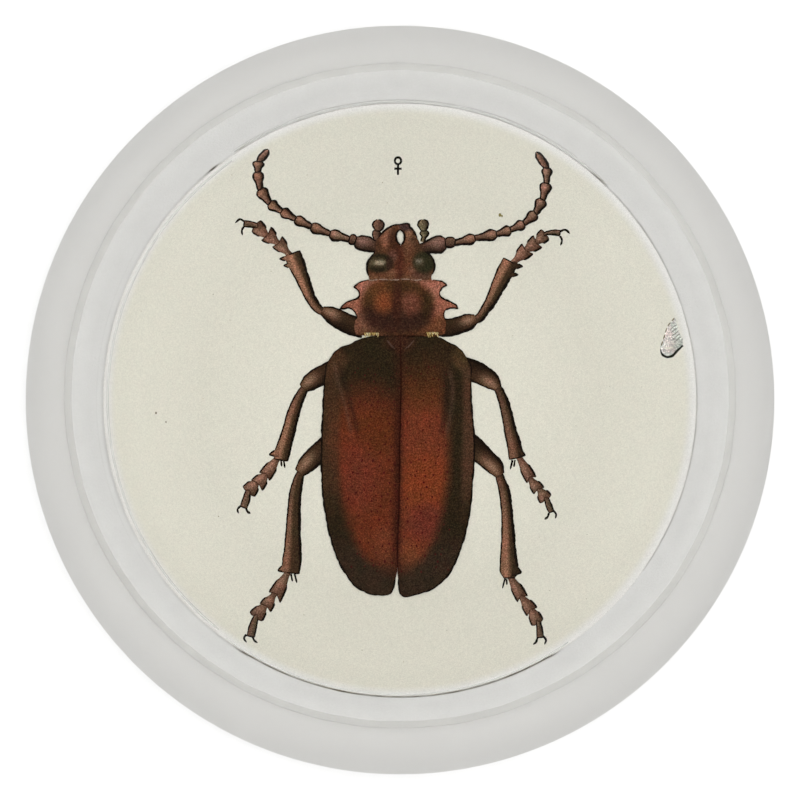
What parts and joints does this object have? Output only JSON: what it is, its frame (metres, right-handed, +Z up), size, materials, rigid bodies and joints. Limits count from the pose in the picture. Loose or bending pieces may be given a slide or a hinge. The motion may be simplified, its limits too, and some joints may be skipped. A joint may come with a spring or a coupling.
{
  "type": "domed crystal paperweight with a printed beetle picture",
  "caption": "Round plano-convex clear crystal paperweight on a felt disc, with a paper print of a long-horned beetle sealed under the dome and seen enlarged through it.",
  "frame": {"origin": "centre of the felt's underside, on the dome's axis, where the paperweight rests", "axes": "+Z up along the dome's axis, +Y to the top of the picture, +X to its right"},
  "size_m": [0.0826, 0.0826, 0.0333],
  "materials": {
    "clear_crystal": "polished",
    "printed_paper": "matt, printed in colour",
    "off_white_felt": "pressed wool felt"
  },
  "bodies": {
    "root": {"crystal_dome": "clear_crystal", "printed_disc": "printed_paper", "felt_base": "off_white_felt"}
  },
  "joints": []
}
